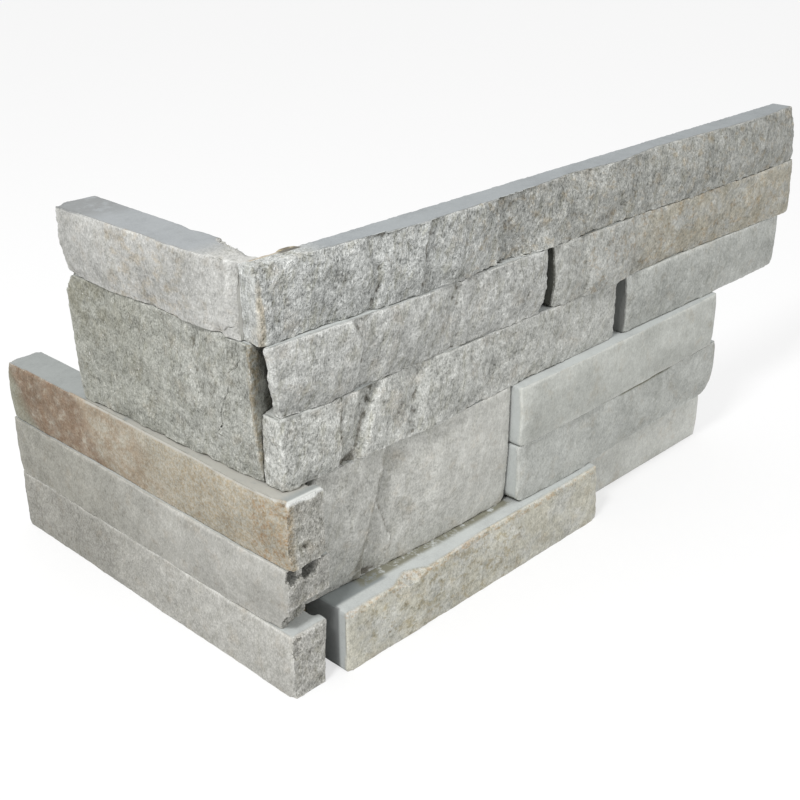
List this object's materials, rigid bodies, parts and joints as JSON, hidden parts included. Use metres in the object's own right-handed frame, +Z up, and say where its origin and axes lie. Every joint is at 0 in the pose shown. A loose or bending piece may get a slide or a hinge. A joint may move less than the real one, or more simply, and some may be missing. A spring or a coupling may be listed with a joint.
{
  "type": "stacked stone ledger corner",
  "caption": "L-shaped outside-corner cladding panel of split-face grey quartzite strips, glued in staggered courses with finger-jointed ends.",
  "frame": {"origin": "foot of the inner corner line, where the sawn backs of the two legs meet; it goes on the wall's own outside corner", "axes": "+X along the long leg, whose back lies on Y = 0 and whose split face looks to -Y; +Y along the short leg, whose back lies on X = 0 and whose split face looks to -X; +Z up the courses"},
  "size_m": [0.3296, 0.1722, 0.15],
  "materials": {
    "grey_quartzite": "split face, sawn back and beds",
    "rust_quartzite": "split face stained tan and brown, sawn back and beds",
    "adhesive": "matte"
  },
  "bodies": {
    "root": {"short_course_1": "grey_quartzite", "short_courses_2_3": "grey_quartzite", "short_course_4": "rust_quartzite", "short_course_5": "grey_quartzite", "short_course_6": "grey_quartzite", "long_course_1": "grey_quartzite", "long_course_2_corner": "grey_quartzite", "long_course_2_outer": "grey_quartzite", "long_course_3_corner": "grey_quartzite", "long_course_3_outer": "grey_quartzite", "long_courses_4_5_corner": "grey_quartzite", "long_course_4_outer": "grey_quartzite", "long_course_5_outer": "grey_quartzite", "long_course_6_ledge": "grey_quartzite", "long_course_6_outer": "grey_quartzite", "corner_adhesive": "adhesive"}
  },
  "joints": []
}
